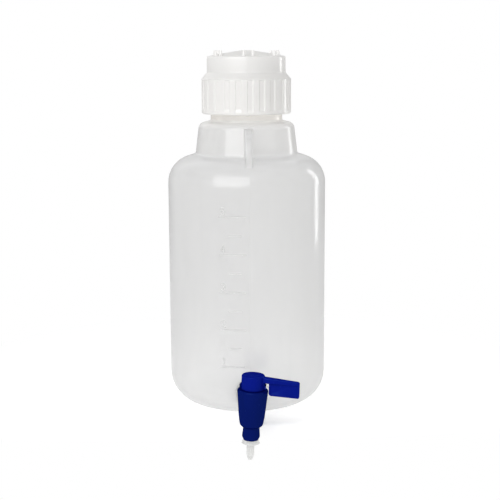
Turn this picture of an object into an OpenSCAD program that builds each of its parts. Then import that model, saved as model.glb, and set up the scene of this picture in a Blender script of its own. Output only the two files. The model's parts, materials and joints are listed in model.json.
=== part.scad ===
// Aspirator bottle: a 5 litre blow-moulded bottle with a screw cap and a lever tap.
// Frame: +Z up, the tap points to -Y, the origin is the centre of the base ring.

/* [Bottle] */
// Outside diameter of the body
body_d = 178; // [150:1:215]
// Height of the neck's rim above the base
rim_z = 366; // [340:1:430]
// Wall thickness
wall = 1.8; // [1.2:0.1:2.4]
// Radius of the rounded edge at the base
base_corner_r = 34; // [30:1:38]
// Inner radius of the ring that the bottle stands on
base_ring_r = 52; // [45:1:54]
// Rise of the base inside that ring
push_up = 6; // [4:0.5:8]
// Radius of the rounded shoulder
shoulder_r = 30; // [24:1:34]
// Radius at the foot of the neck cone
cone_foot_r = 57.5; // [56:0.5:62]
// Radius at the top of the neck cone
cone_top_r = 53.5; // [52:0.5:55]
// Height of the neck cone
cone_h = 37; // [30:0.5:40]
// Rise of the shoulder from the body to the neck cone
shoulder_rise = 10.5; // [8:0.5:14]
// Radius of the bare neck under the cap
neck_r = 40.2; // [38:0.1:41]
// Radius of the neck behind its thread
finish_r = 44.1; // [43.5:0.1:45]
// Height of the neck above the cone
neck_h = 43.5; // [42:0.5:48]
// Thickness of the two shoulder fins
fin_t = 8; // [4:0.5:10]
// Distance of the fins' outer edge from the axis
fin_reach = 78.5; // [74:0.5:84]

/* [Graduations] */
// Height of the one litre line
litre_z = 59.5; // [50:0.5:70]
// Height of one litre
litre_h = 41.3; // [34:0.1:44]
// Number of litres
litres = 5; // [3:1:5]
// Height of the raised lines above the wall
mark_h = 0.5; // [0.3:0.1:0.8]
// Width of the raised lines
mark_w = 1; // [0.6:0.1:1.6]

/* [Screw cap] */
// Lead of the neck thread
thread_lead = 8; // [6:0.5:9]
// Turns of the thread
thread_turns = 1.25; // [1:0.25:1.5]
// Depth of the thread
thread_h = 1.9; // [1.2:0.1:2.2]
// Width of the thread at its root
thread_root_w = 3; // [2.4:0.1:3.4]
// Width of the thread at its crest
thread_crest_w = 1.2; // [0.8:0.1:1.6]
// Radial clearance between the two threads
thread_clear = 0.7; // [0.5:0.1:1]
// Clearance between the two threads' flanks
flank_clear = 0.4; // [0.3:0.1:0.6]
// Wall of the cap's skirt
skirt_wall = 2.4; // [1.8:0.1:3]
// Depth of the grooves in the skirt
groove_depth = 1.1; // [0.6:0.1:1.5]
// Number of grooves around the skirt
groove_count = 24; // [16:1:30]
// Share of the pitch that a groove takes
groove_share = 0.5; // [0.35:0.05:0.6]
// Height of the plain band at the skirt's foot
band_h = 4.6; // [3:0.2:7]
// Gap between the skirt's foot and the neck cone
skirt_gap = 7.7; // [5:0.1:10]
// Outside radius of the cap's drum
drum_r = 44; // [43.4:0.1:45]
// Height of the drum with the slope below it
drum_h = 25.6; // [20:0.2:30]
// Height of the slope between the skirt and the drum
slope_h = 7.6; // [6:0.2:9]
// Height of the drive pegs
peg_h = 6; // [4:0.5:8]
// Radius of the drive pegs at their foot
peg_r = 2; // [1.5:0.1:2.4]
// Thickness of the sealing disc
liner_t = 2; // [1:0.5:3]

/* [Tap] */
// Distance of the tap's axis from the bottle's wall
tap_reach = 43; // [40:1:52]
// Height of the outlet above the base
outlet_z = 29; // [27:1:32]
// Angle that the tap leans by on its outlet, as fitted
tap_lean = 2.4; // [0:0.2:5]
// Radius of the tap's rim
rim_r = 16.4; // [15:0.1:18]
// Height of the rim's top above the outlet
rim_rise = 19; // [16:0.5:22]
// Depth of the tap's barrel below the outlet
barrel_drop = 22.4; // [19:0.2:25]
// Radius of the spigot
spigot_r = 8.8; // [8:0.1:9.2]
// Length of the spigot
spigot_h = 14.1; // [12:0.1:18]
// Radius of the key's barrel
key_r = 9.5; // [8.5:0.1:10]
// Radial clearance of the key in the tap
key_clear = 0.05; // [0.02:0.01:0.1]
// Radius of the key's knob
knob_r = 12.3; // [11.5:0.1:13]
// Height of the knob
knob_h = 15.4; // [13:0.2:19]
// Reach of the lever from the key's axis
lever_reach = 50; // [44:1:64]
// Thickness of the paddle's rim
lever_t = 3.4; // [3:0.2:5]
// Thickness of the paddle's web
web_t = 2.2; // [1.6:0.2:2.8]
// Width of the lever's beam at the knob
beam_w = 8; // [6:0.5:10]
// Height of the lever's beam
beam_h = 5.6; // [4:0.2:7]
// Drop of the lever's paddle below the knob's top
paddle_drop = 21; // [17:0.5:22]
// Direction of the lever when the tap is closed
lever_angle = -16; // [-24:1:0]
// Height of the wall that stops the key
stop_h = 5; // [4:0.5:6]
// Radius of the flow passage
flow_r = 4; // [3:0.1:4.2]
// Radius of the threaded tail
tail_r = 9; // [8.5:0.1:9.5]
// Radius of the outlet boss
boss_r = 16; // [15.5:0.1:18]
// Thickness of the gaskets
gasket_t = 2; // [1.5:0.5:3]
// Gap between the lock nut's corners and the boss's pocket
nut_clear = 0.92; // [0.7:0.02:1.4]
// Thickness of the lock nut
nut_t = 6; // [4:0.5:8]
// Thickness of an O-ring's cord
ring_cord = 2; // [1.6:0.1:2.4]
// Outside radius of the nozzle
nozzle_r = 4.15; // [3.8:0.05:4.6]
// Length of the nozzle below its flange
nozzle_len = 18.6; // [14:0.2:24]

/* [Hidden] */
$fn = 96;
body_r = body_d / 2;
arc_steps = 8;

// Heights of the bottle's steps, from the rim down
cone_top_z = rim_z - neck_h;
cone_foot_z = cone_top_z - cone_h;
shoulder_z = cone_foot_z - shoulder_rise;
bare_neck_h = 7.7;
finish_foot_z = cone_top_z + bare_neck_h;
finish_slope_h = 3;
finish_fillet = 3;
neck_fillet = 2.5;
cone_edge_r = 8;
cone_edge_drop = 3;
cone_foot_fillet = 4;
ring_edge_r = 4;
push_up_fillet = 6;
push_up_run = 8;

// Shoulder fins: how far they reach into the shoulder and the cone
fin_sink = 4;
fin_side_z = cone_foot_z + 4;
fin_top_z = cone_top_z - 6;
fin_foot_z = cone_foot_z - 14;

// Graduations, as angles around the bottle: the front is at 270
litre_line_start = 248.6;
litre_line_turn = 18.5;
half_line_start = 255.1;
half_line_turn = 9;
mark_draft = 0.2;

// Outlet boss
boss_h = 3.5;
boss_depth = 20;

// Screw cap
cap_foot_z = cone_top_z + skirt_gap;
ledge_z = rim_z + liner_t;
skirt_in_r = finish_r + thread_h + thread_clear;
skirt_r = skirt_in_r + skirt_wall + groove_depth;
slope_over_ledge = 0.4;
slope_z = ledge_z + slope_over_ledge;
drum_z = slope_z + slope_h;
cap_top_z = slope_z + drum_h;
drum_wall = 2.4;
cap_top_t = 2.6;
liner_clear = 0.5;
thread_drop = 21;
neck_thread_z = rim_z - thread_drop;
cap_thread_z = neck_thread_z - (thread_root_w + thread_crest_w) / 2 - flank_clear;
thread_gap = 0.6;
cap_thread_h = thread_h + thread_clear - thread_gap;
thread_sink = 0.6;
thread_end_rise = 0.15;
skirt_edge = 1.6;
cap_edge_r = 2;
peg_inset = 6.6;
peg_ring_r = drum_r - peg_inset;
peg_draft = 0.5;
peg_pairs = 6;
peg_spread = 7.6;
peg_turn = 1.8;
groove_turn = 3;
crown_r = 39.5;
crown_top_r = 5.5;
crown_plate_h = 0.8;
crown_h = 6;

// Tap
tap_y = -(body_r + tap_reach);
boss_face_y = -(body_r + boss_h);
pocket_r = boss_r - wall;
collar_face_y = boss_face_y - gasket_t;
collar_t = 4;
collar_inset = 2.4;
collar_r = boss_r - collar_inset;
gasket_inset = 2.6;
gasket_r = boss_r - gasket_inset;
nut_face_y = boss_face_y + wall + gasket_t;
tail_past_nut = 3;
tail_end_y = nut_face_y + nut_t + tail_past_nut;
tail_chamfer = 1;
inlet_wall = 5.5;
tail_clear = 0.3;
rim_top_z = outlet_z + rim_rise;
barrel_foot_z = outlet_z - barrel_drop;
spigot_foot_z = barrel_foot_z - spigot_h;
bore_r = key_r + key_clear;
barrel_floor_t = 5;
seat_z = barrel_foot_z + barrel_floor_t;
knob_gap = 0.3;
knob_z = rim_top_z + knob_gap;
knob_top_z = knob_z + knob_h;
knob_edge_r = 1.6;
lever_fall = 3;
lever_end_z = knob_top_z - lever_fall;
lever_sink = 3;
beam_drop = 1.5;
beam_end_h = 5;
paddle_gap = 1;
paddle_rim = 2;
paddle_in_r = 3;
paddle_end_r = 1.5;
stop_clear = 0.4;
stop_in_r = knob_r + stop_clear;
stop_inset = 2.1;
stop_out_r = rim_r - stop_inset;
tab_out_r = stop_out_r;
tab_w = 3;
tab_gap = 0.6;
tab_z = rim_top_z + tab_gap;
tab_h = 3.8;
tab_clear_turn = 1.6;
tab_turn = asin(tab_w / 2 / stop_in_r) + tab_clear_turn;
key_turn_closed = 90 + (90 + lever_angle);
bead_drop = 4;
bead_z = rim_top_z - bead_drop;
bead_h = 0.6;
bead_w = 1.6;
bead_clear = 0.3;
key_foot_clear = 0.3;
key_chamfer = 0.8;
upper_ring_rise = 9;
upper_ring_z = outlet_z + upper_ring_rise;
lower_ring_drop = 10;
lower_ring_z = outlet_z - lower_ring_drop;
ring_side_clear = 0.2;
ring_seat_clear = 0.05;
nozzle_plug_h = 9;
nozzle_top_z = spigot_foot_z + nozzle_plug_h;
nozzle_shank_r = 5.2;
nozzle_flange_r = 9.9;
nozzle_flange_h = 3.8;
nozzle_bore_r = 2.6;
nozzle_tip_r = 2.2;
nozzle_tip_h = 6;
nozzle_tip_wall = 0.8;
nozzle_collar_h = 0.6;
nozzle_collar_t = 0.5;
nozzle_skirt_t = 0.7;
nozzle_skirt_depth = 1.8;

// ---- Outlines ----

function unit(v) = v / norm(v);

function wrap(a) = (a + 540) % 360 - 180;

// Points of an arc about c, from angle a0 through the angle turn
function arc(c, r, a0, turn, n = arc_steps) =
    [for (i = [0 : n]) let (a = a0 + turn * i / n) c + r * [cos(a), sin(a)]];

// The corner q between p and s, rounded to radius r
function corner(p, q, s, r) =
    let (u = unit(p - q), v = unit(s - q))
    let (half = acos(u * v) / 2, c = q + unit(u + v) * r / sin(half))
    let (a = q + u * r / tan(half) - c, b = q + v * r / tan(half) - c)
    let (a0 = atan2(a.y, a.x), a1 = atan2(b.y, b.x))
    arc(c, r, a0, wrap(a1 - a0));

function flat(p) = [p.x, p.y];

// An open outline of [radius, height, rounding] points with its corners rounded
function rounded(pts) = [
    for (i = [0 : len(pts) - 1])
        each (len(pts[i]) < 3 ? [pts[i]]
            : corner(flat(pts[i - 1]), flat(pts[i]), flat(pts[i + 1]), pts[i].z))
];

// Direction to the left of an open outline at its point i
function left_of(pts, i) =
    let (a = pts[max(i - 1, 0)], b = pts[min(i + 1, len(pts) - 1)])
    unit([a.y - b.y, b.x - a.x]);

function inset(pts, t) = [for (i = [0 : len(pts) - 1]) pts[i] + t * left_of(pts, i)];

BOTTLE_LINE = rounded([
    [0, push_up],
    [base_ring_r - push_up_run, push_up, push_up_fillet],
    [base_ring_r, 0, ring_edge_r],
    [body_r, 0, base_corner_r],
    [body_r, shoulder_z, shoulder_r],
    [cone_foot_r, cone_foot_z, cone_foot_fillet],
    [cone_top_r, cone_top_z - cone_edge_drop, cone_edge_r],
    [neck_r, cone_top_z, neck_fillet],
    [neck_r, finish_foot_z, finish_fillet],
    [finish_r, finish_foot_z + finish_slope_h, finish_fillet],
    [finish_r, rim_z]
]);

// ---- Shared shapes ----

module bottle_outside() {
    rotate_extrude($fn = 180) polygon(concat(BOTTLE_LINE, [[0, rim_z]]));
}

module bottle_inside() {
    inner = inset(BOTTLE_LINE, wall);
    last = len(inner) - 1;
    body = [for (i = [1 : last - 1]) inner[i]];
    mouth_r = finish_r - wall;
    rotate_extrude($fn = 180)
        polygon(concat([[0, push_up + wall]], body, [[mouth_r, rim_z + 1], [0, rim_z + 1]]));
}

// A helical ridge: root at radius r, crest at r + h (h < 0 points inwards)
module thread_ridge(r, h, z, lead, turns) {
    steps = round(36 * turns);
    sink = thread_sink * sign(h);
    fade = 3;
    function rise(i) = min(1, min(i, steps - i) / fade);
    function ring(i) =
        let (a = 360 * turns * i / steps, k = thread_end_rise + (1 - thread_end_rise) * rise(i))
        let (zc = z + lead * turns * i / steps)
        [for (p = [
            [r - sink, -thread_root_w / 2], [r - sink, thread_root_w / 2],
            [r + h * k, thread_crest_w / 2], [r + h * k, -thread_crest_w / 2]
        ]) [p.x * cos(a), p.x * sin(a), zc + p.y]];
    points = [for (i = [0 : steps]) each ring(i)];
    outward = h > 0;
    function side(a, b, c) = outward ? [a, b, c] : [c, b, a];
    sides = [
        for (i = [0 : steps - 1], j = [0 : 3])
            let (a = 4 * i + j, b = 4 * i + (j + 1) % 4, c = a + 4, d = b + 4)
            each [side(a, c, b), side(b, c, d)]
    ];
    e = 4 * steps;
    ends = [side(0, 1, 2), side(0, 2, 3), side(e, e + 2, e + 1), side(e, e + 3, e + 2)];
    polyhedron(points, concat(sides, ends), convexity = 6);
}

// A round bar or hole along Y, from y0 to y1, at the outlet's height
module along_y(r, y0, y1) {
    translate([0, y0, outlet_z]) rotate([-90, 0, 0]) cylinder(r = r, h = y1 - y0);
}

// Pieces of the tap, drawn upright, leant about the outlet's axis
module as_fitted() {
    translate([0, 0, outlet_z]) rotate([0, tap_lean, 0]) translate([0, 0, -outlet_z]) children();
}

module o_ring(z) {
    translate([0, tap_y, z])
        rotate_extrude() translate([key_r - ring_cord / 2, 0]) circle(d = ring_cord, $fn = 32);
}

// ---- Bottle ----

// One shoulder fin on the mould line, with a curved outer edge
module shoulder_fin() {
    in_r = cone_top_r - fin_sink;
    edge = [for (a = [0 : 15 : 90])
        [in_r + (fin_reach - in_r) * cos(a), fin_side_z + (fin_top_z - fin_side_z) * sin(a)]];
    translate([fin_t / 2, 0, 0]) rotate([90, 0, -90])
        linear_extrude(fin_t) polygon(concat([[in_r, fin_foot_z], [fin_reach, fin_foot_z]], edge));
}

// A raised line on the wall, from angle a0 over the angle turn
module grad_line(z, a0, turn) {
    r0 = body_r - wall / 2;
    rotate([0, 0, a0]) rotate_extrude(angle = turn, $fn = 180)
        polygon([[r0, z - mark_w / 2], [body_r + mark_h, z - mark_w / 2 + mark_draft],
            [body_r + mark_h, z + mark_w / 2 - mark_draft], [r0, z + mark_w / 2]]);
}

module graduations() {
    for (i = [0 : litres - 1])
        grad_line(litre_z + litre_h * i, litre_line_start, litre_line_turn);
    for (i = [0 : litres - 2])
        grad_line(litre_z + litre_h * (i + 0.5), half_line_start, half_line_turn);
}

module bottle() color([0.93, 0.94, 0.95, 0.6]) {
    difference() {
        union() {
            bottle_outside();
            along_y(boss_r, boss_face_y, boss_face_y + boss_depth);
            for (turn = [0, 180]) rotate([0, 0, turn]) shoulder_fin();
        }
        bottle_inside();
        along_y(pocket_r, boss_face_y + wall, boss_face_y + boss_depth + 10);
        along_y(tail_r + tail_clear, boss_face_y - 1, boss_face_y + boss_depth + 10);
    }
    graduations();
    thread_ridge(finish_r, thread_h, neck_thread_z, thread_lead, thread_turns);
}

// ---- Screw cap ----

module cap_shell() {
    rotate_extrude($fn = 180) polygon(concat(
        [[skirt_in_r, cap_foot_z], [skirt_r - skirt_edge, cap_foot_z],
            [skirt_r, cap_foot_z + skirt_edge], [skirt_r, slope_z], [drum_r, drum_z]],
        arc([drum_r - cap_edge_r, cap_top_z - cap_edge_r], cap_edge_r, 0, 90, 4),
        [[0, cap_top_z], [0, cap_top_z - cap_top_t], [drum_r - drum_wall, cap_top_z - cap_top_t],
            [drum_r - drum_wall, ledge_z], [skirt_in_r, ledge_z]]
    ));
}

module skirt_grooves() {
    w = 2 * skirt_r * sin(180 * groove_share / groove_count);
    for (i = [0 : groove_count - 1])
        rotate([0, 0, -90 + groove_turn + 360 * i / groove_count])
            translate([skirt_r - groove_depth, -w / 2, cap_foot_z + band_h])
                cube([groove_depth + 2, w, slope_z - cap_foot_z - band_h]);
}

module drive_pegs() {
    for (i = [0 : peg_pairs - 1], side = [-1, 1])
        rotate([0, 0, -90 + peg_turn + 360 * i / peg_pairs + side * peg_spread])
            translate([peg_ring_r, 0, cap_top_z - 1])
                cylinder(r1 = peg_r, r2 = peg_r - peg_draft, h = peg_h + 1, $fn = 32);
}

// The six-sided crown: a thin plate with a flat-topped pyramid on it
module crown() {
    translate([0, 0, cap_top_z - 0.5]) cylinder(r = crown_r, h = crown_plate_h + 0.5, $fn = 6);
    translate([0, 0, cap_top_z + crown_plate_h])
        cylinder(r1 = crown_r, r2 = crown_top_r, h = crown_h - crown_plate_h, $fn = 6);
}

module screw_cap() color([0.96, 0.96, 0.95]) {
    difference() {
        cap_shell();
        skirt_grooves();
    }
    drive_pegs();
    crown();
    thread_ridge(skirt_in_r, -cap_thread_h, cap_thread_z, thread_lead, thread_turns);
}

module cap_liner() color([0.9, 0.9, 0.86]) {
    translate([0, 0, rim_z]) cylinder(r = skirt_in_r - liner_clear, h = liner_t);
}

// ---- Tap ----

module barrel() {
    lip = 2;
    lip_drop = 7;
    lip_inset = 0.5;
    foot_inset = 4.5;
    foot_edge_r = 4.5;
    waist_inset = 2.5;
    waist_rise = 12;
    waist_r = 40;
    flare = 0.7;
    flare_rise = 3.8;
    end_inset = 0.9;
    line = concat(
        [[0, spigot_foot_z], [spigot_r - end_inset, spigot_foot_z],
            [spigot_r + flare, spigot_foot_z + flare_rise], [spigot_r, barrel_foot_z]],
        rounded([[spigot_r + 1, barrel_foot_z], [rim_r - foot_inset, barrel_foot_z, foot_edge_r],
            [rim_r - waist_inset, barrel_foot_z + waist_rise, waist_r],
            [rim_r - lip_inset, rim_top_z - lip_drop]]),
        arc([rim_r - lip, rim_top_z - lip], lip, -20, 110, 6),
        [[0, rim_top_z]]
    );
    translate([0, tap_y, 0]) rotate_extrude() polygon(line);
}

module key_stop_wall() {
    translate([0, tap_y, 0]) rotate([0, 0, tab_turn])
        rotate_extrude(angle = 180 - 2 * tab_turn)
            translate([stop_in_r, rim_top_z - 1])
                square([stop_out_r - stop_in_r, stop_h + 1]);
}

module key_cavity() {
    translate([0, tap_y, 0]) {
        translate([0, 0, seat_z]) cylinder(r = bore_r, h = rim_top_z - seat_z + 1);
        translate([0, 0, spigot_foot_z + 1]) cylinder(r = nozzle_bore_r + 1, h = seat_z - spigot_foot_z);
        translate([0, 0, spigot_foot_z - 1])
            cylinder(r = nozzle_shank_r, h = nozzle_top_z - spigot_foot_z + 1);
        translate([0, 0, bead_z - bead_w]) cylinder(r = bore_r + bead_h + bead_clear, h = 2 * bead_w);
    }
}

module tap_body() color([0.07, 0.12, 0.5]) {
    difference() {
        union() {
            as_fitted() barrel();
            along_y(flow_r + inlet_wall, tap_y, collar_face_y - 1);
            along_y(collar_r, collar_face_y - collar_t, collar_face_y);
            along_y(tail_r - tail_chamfer, collar_face_y - 1, tail_end_y);
            along_y(tail_r, collar_face_y - 1, tail_end_y - tail_chamfer);
        }
        as_fitted() key_cavity();
        along_y(flow_r, tap_y, tail_end_y + 1);
    }
    as_fitted() key_stop_wall();
}

module key_barrel() {
    half = ring_cord / 2 + ring_side_clear;
    foot_z = seat_z + key_foot_clear;
    groove_r = key_r - ring_cord - ring_seat_clear;
    difference() {
        rotate_extrude() polygon([
            [0, foot_z], [key_r - key_chamfer, foot_z], [key_r, foot_z + key_chamfer],
            [key_r, lower_ring_z - half], [groove_r, lower_ring_z - half],
            [groove_r, lower_ring_z + half], [key_r, lower_ring_z + half],
            [key_r, upper_ring_z - half], [groove_r, upper_ring_z - half],
            [groove_r, upper_ring_z + half], [key_r, upper_ring_z + half],
            [key_r, bead_z - bead_w / 2], [key_r + bead_h, bead_z - 0.2],
            [key_r + bead_h, bead_z + 0.2], [key_r, bead_z + bead_w / 2],
            [key_r, knob_z + 1], [0, knob_z + 1]
        ]);
        translate([0, 0, seat_z - 1]) cylinder(r = flow_r - 0.5, h = outlet_z - seat_z + 1);
        rotate([0, 0, key_turn_closed]) translate([-flow_r, 0, outlet_z])
            rotate([0, 90, 0]) cylinder(r = flow_r, h = key_r + flow_r + 2);
    }
}

module knob() {
    rotate_extrude() polygon(concat(
        [[0, knob_z], [knob_r, knob_z]],
        arc([knob_r - knob_edge_r, knob_top_z - knob_edge_r], knob_edge_r, 0, 90, 5),
        [[0, knob_top_z]]
    ));
}

// The paddle in its own plane, drawn in by t: x away from the key's axis, y up
module paddle_outline(t) {
    foot_z = knob_top_z - paddle_drop + t;
    end_x = lever_reach - t;
    in_x = rim_r + paddle_gap + t;
    r = paddle_end_r;
    polygon(concat(
        [[in_x, knob_top_z - 2 - t]],
        arc([in_x + paddle_in_r, foot_z + paddle_in_r], paddle_in_r, 180, 90, 5),
        arc([end_x - r, foot_z + r], r, 270, 90, 4),
        arc([end_x - r, lever_end_z - r - t], r, 0, 86, 4)
    ));
}

// A plate of thickness t in the lever's plane
module lever_plate(t) {
    translate([0, t / 2, 0]) rotate([90, 0, 0]) linear_extrude(t) children();
}

// The beam along the lever's top: level with the knob, narrower towards the end
module lever_beam() {
    start_x = knob_r - lever_sink;
    top_z = knob_top_z - beam_drop;
    intersection() {
        lever_plate(beam_w + 1) polygon([
            [start_x, top_z], [start_x, top_z - beam_h],
            [rim_r + paddle_gap, top_z - beam_h - 0.4], [lever_reach - 1, lever_end_z - beam_end_h],
            [lever_reach - 0.6, lever_end_z]
        ]);
        translate([0, 0, barrel_foot_z]) linear_extrude(knob_top_z) polygon([
            [start_x - 1, -beam_w / 2], [knob_r + 2, -beam_w / 2], [lever_reach, -lever_t / 2],
            [lever_reach, lever_t / 2], [knob_r + 2, beam_w / 2], [start_x - 1, beam_w / 2]
        ]);
    }
}

module lever() {
    lever_plate(web_t) paddle_outline(0.4);
    lever_plate(lever_t) difference() {
        paddle_outline(0);
        paddle_outline(paddle_rim);
    }
    lever_beam();
}

module tap_key() color([0.07, 0.12, 0.5]) as_fitted() translate([0, tap_y, 0]) {
    key_barrel();
    knob();
    rotate([0, 0, lever_angle]) {
        lever();
        translate([knob_r - 2, -tab_w / 2, tab_z]) cube([tab_out_r - knob_r + 2, tab_w, tab_h]);
    }
}

module key_upper_o_ring() color([0.12, 0.12, 0.12]) as_fitted() o_ring(upper_ring_z);

module key_lower_o_ring() color([0.12, 0.12, 0.12]) as_fitted() o_ring(lower_ring_z);

module nozzle() color([0.9, 0.92, 0.94, 0.7]) {
    flange_z = spigot_foot_z - nozzle_flange_h;
    foot_z = flange_z - nozzle_len;
    as_fitted() translate([0, tap_y, 0]) rotate_extrude() polygon([
        [nozzle_bore_r, nozzle_top_z], [nozzle_shank_r - 0.6, nozzle_top_z],
        [nozzle_shank_r, nozzle_top_z - 0.6], [nozzle_shank_r, spigot_foot_z],
        [spigot_r - 0.5, spigot_foot_z], [nozzle_flange_r, flange_z + 0.6],
        [nozzle_flange_r, flange_z], [nozzle_flange_r - nozzle_skirt_t, flange_z],
        [nozzle_r + nozzle_collar_t, flange_z + nozzle_skirt_depth],
        [nozzle_r + nozzle_collar_t, flange_z - nozzle_collar_h],
        [nozzle_r, flange_z - nozzle_collar_h], [nozzle_r, foot_z + nozzle_tip_h],
        [nozzle_tip_r + 0.7, foot_z + 1.6], [nozzle_tip_r, foot_z],
        [nozzle_tip_r - nozzle_tip_wall, foot_z], [nozzle_bore_r, foot_z + nozzle_tip_h]
    ]);
}

module outer_gasket() color([0.2, 0.2, 0.2]) difference() {
    along_y(gasket_r, collar_face_y, boss_face_y);
    along_y(tail_r, collar_face_y - 1, boss_face_y + 1);
}

module inner_gasket() color([0.2, 0.2, 0.2]) difference() {
    along_y(gasket_r, nut_face_y - gasket_t, nut_face_y);
    along_y(tail_r, nut_face_y - gasket_t - 1, nut_face_y + 1);
}

module lock_nut() color([0.07, 0.12, 0.5]) {
    difference() {
        translate([0, nut_face_y, outlet_z]) rotate([-90, 0, 0])
            cylinder(r = pocket_r - nut_clear, h = nut_t, $fn = 6);
        along_y(tail_r, nut_face_y - 1, nut_face_y + nut_t + 1);
    }
}

bottle();
screw_cap();
cap_liner();
tap_body();
tap_key();
key_upper_o_ring();
key_lower_o_ring();
nozzle();
outer_gasket();
inner_gasket();
lock_nut();
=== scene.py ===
"""The looks of the aspirator bottle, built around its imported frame. Outlines are in millimetres."""
import json
import math

import bmesh
import bpy
from mathutils import Matrix, Vector


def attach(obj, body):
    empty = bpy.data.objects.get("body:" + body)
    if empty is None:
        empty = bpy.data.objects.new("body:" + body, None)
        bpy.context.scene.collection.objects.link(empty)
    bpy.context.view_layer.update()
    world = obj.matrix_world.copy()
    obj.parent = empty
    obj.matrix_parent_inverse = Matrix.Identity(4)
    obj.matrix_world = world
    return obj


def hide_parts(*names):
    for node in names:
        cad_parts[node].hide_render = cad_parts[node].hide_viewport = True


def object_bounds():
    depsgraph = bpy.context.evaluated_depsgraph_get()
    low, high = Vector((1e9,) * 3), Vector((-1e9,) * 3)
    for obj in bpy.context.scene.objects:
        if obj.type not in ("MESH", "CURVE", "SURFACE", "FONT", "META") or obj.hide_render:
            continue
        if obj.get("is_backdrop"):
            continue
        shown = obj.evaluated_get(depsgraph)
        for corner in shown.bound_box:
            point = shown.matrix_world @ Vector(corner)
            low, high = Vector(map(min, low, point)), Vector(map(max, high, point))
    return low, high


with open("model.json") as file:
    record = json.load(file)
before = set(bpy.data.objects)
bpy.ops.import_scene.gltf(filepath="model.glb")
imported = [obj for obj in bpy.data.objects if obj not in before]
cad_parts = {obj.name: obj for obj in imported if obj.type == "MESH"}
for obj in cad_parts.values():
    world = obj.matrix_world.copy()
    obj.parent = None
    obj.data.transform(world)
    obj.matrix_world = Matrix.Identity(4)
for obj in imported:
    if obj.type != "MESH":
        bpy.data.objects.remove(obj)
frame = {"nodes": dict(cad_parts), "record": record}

cad_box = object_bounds()
MM = 0.001
TAU = 2 * math.pi

# ---------------------------------------------------------------- sizes, in mm

BODY_R = 89.0
WALL = 1.8
RIM_Z = 366.0
NECK_R, FINISH_R = 40.2, 44.1
CONE_TOP_R, CONE_FOOT_R = 53.5, 57.5
CONE_TOP_Z, CONE_FOOT_Z, SHOULDER_Z = 322.5, 285.5, 275.0
NECK_TOP_Z, FINISH_FOOT_Z = CONE_TOP_Z + 7.7, CONE_TOP_Z + 10.7
BASE_RING_R, PUSH_UP, BASE_CORNER_R, SHOULDER_R = 52.0, 6.0, 34.0, 30.0
FIN_T, FIN_REACH, FIN_IN_R = 8.0, 78.5, 49.5
FIN_TOP_Z, FIN_SIDE_Z, FIN_FOOT_Z = 316.5, 289.5, 271.5
FIN_EDGE, FIN_FLARE, SEAM_H = 1.2, 1.5, 0.05
LITRE_Z, LITRE_H, LITRES = 59.5, 41.3, 5
MARK_W, MARK_H, STROKE_W = 1.0, 0.45, 0.95
# Ends of the graduations' lines along the wall, and the place and size of their numbers
LITRE_LINE, HALF_LINE = (-33.0, -4.5), (-23.0, -9.2)
NUMBER_U, NUMBER_RISE, NUMBER_W, NUMBER_H = -31.7, 2.4, 4.4, 4.6

THREAD_LEAD, THREAD_TURNS, THREAD_H = 8.0, 1.25, 1.9
THREAD_Z, CAP_THREAD_DROP = RIM_Z - 21, 2.5
SKIRT_IN_R, SKIRT_R, DRUM_R = 46.7, 50.2, 44.0
CAP_FOOT_Z, LEDGE_Z, SLOPE_Z, DRUM_Z, CAP_TOP_Z = 330.2, 368.0, 368.4, 376.0, 394.0
CAP_TOP_T, DRUM_T = 2.6, 2.4
GROOVE_DEPTH, GROOVE_COUNT, GROOVE_SHARE, BAND_H = 1.1, 24, 0.5, 4.6
GROOVE_TURN, PEG_TURN, PEG_SPREAD, PEG_RING_R = 3.0, 1.8, 7.6, 37.4
PEG_PAIRS, PEG_H, PEG_R = 6, 6.0, 2.0
CROWN_R, CROWN_TOP_R, CROWN_PLATE_H, CROWN_H = 39.5, 5.5, 0.8, 6.0
COS_30 = math.cos(math.radians(30))

TAP_Y = -132.0
OUTLET_Z, TAP_LEAN = 29.0, 2.4
BOSS_R, BOSS_FACE_Y = 16.0, -92.5
RIM_R, RIM_TOP_Z, BARREL_FOOT_Z, SPIGOT_FOOT_Z = 16.4, 48.0, 6.6, -7.5
SOCKET_R, SOCKET_DEPTH = 5.2, 9
INLET_Y, COLLAR_Y, COLLAR_FACE_Y, TAIL_END_Y = TAP_Y + 9, -98.5, -94.5, -79.7
INLET_R, COLLAR_R, TAIL_R, TAIL_ROOT_R, TAIL_TURNS = 9.5, 13.6, 9, 8.3, 8
SPIGOT_R, KEY_R, KNOB_R = 8.8, 9.5, 12.3
GROOVE_HALF, GROOVE_IN, BEAD_H, BEAD_DROP = 1.2, 2.05, 0.6, 4
KNOB_Z, KNOB_TOP_Z = 48.3, 63.7
STOP_IN_R, STOP_OUT_R, STOP_TOP_Z, STOP_TURN = 12.7, 14.3, 53.0, 8.4
LEVER_REACH, LEVER_T, WEB_T, LEVER_ANGLE = 50.0, 3.4, 2.2, -16.0
PADDLE_DROP, PADDLE_RIM, BEAM_W, BEAM_H = 21.0, 2.0, 8.0, 5.6
BEAM_DROP, BEAM_END_H, LEVER_DROP = 1.5, 5.0, 3.0
NOZZLE_FLANGE_R, NOZZLE_R, NOZZLE_BORE_R, NOZZLE_FOOT_Z = 9.9, 4.15, 2.6, -29.9


# ---------------------------------------------------------------- outlines

def arc(cx, cy, r, start, turn, steps=8):
    """Points of an arc about (cx, cy), angles in degrees."""
    angles = [math.radians(start + turn * i / steps) for i in range(steps + 1)]
    return [(cx + r * math.cos(a), cy + r * math.sin(a)) for a in angles]


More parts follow.
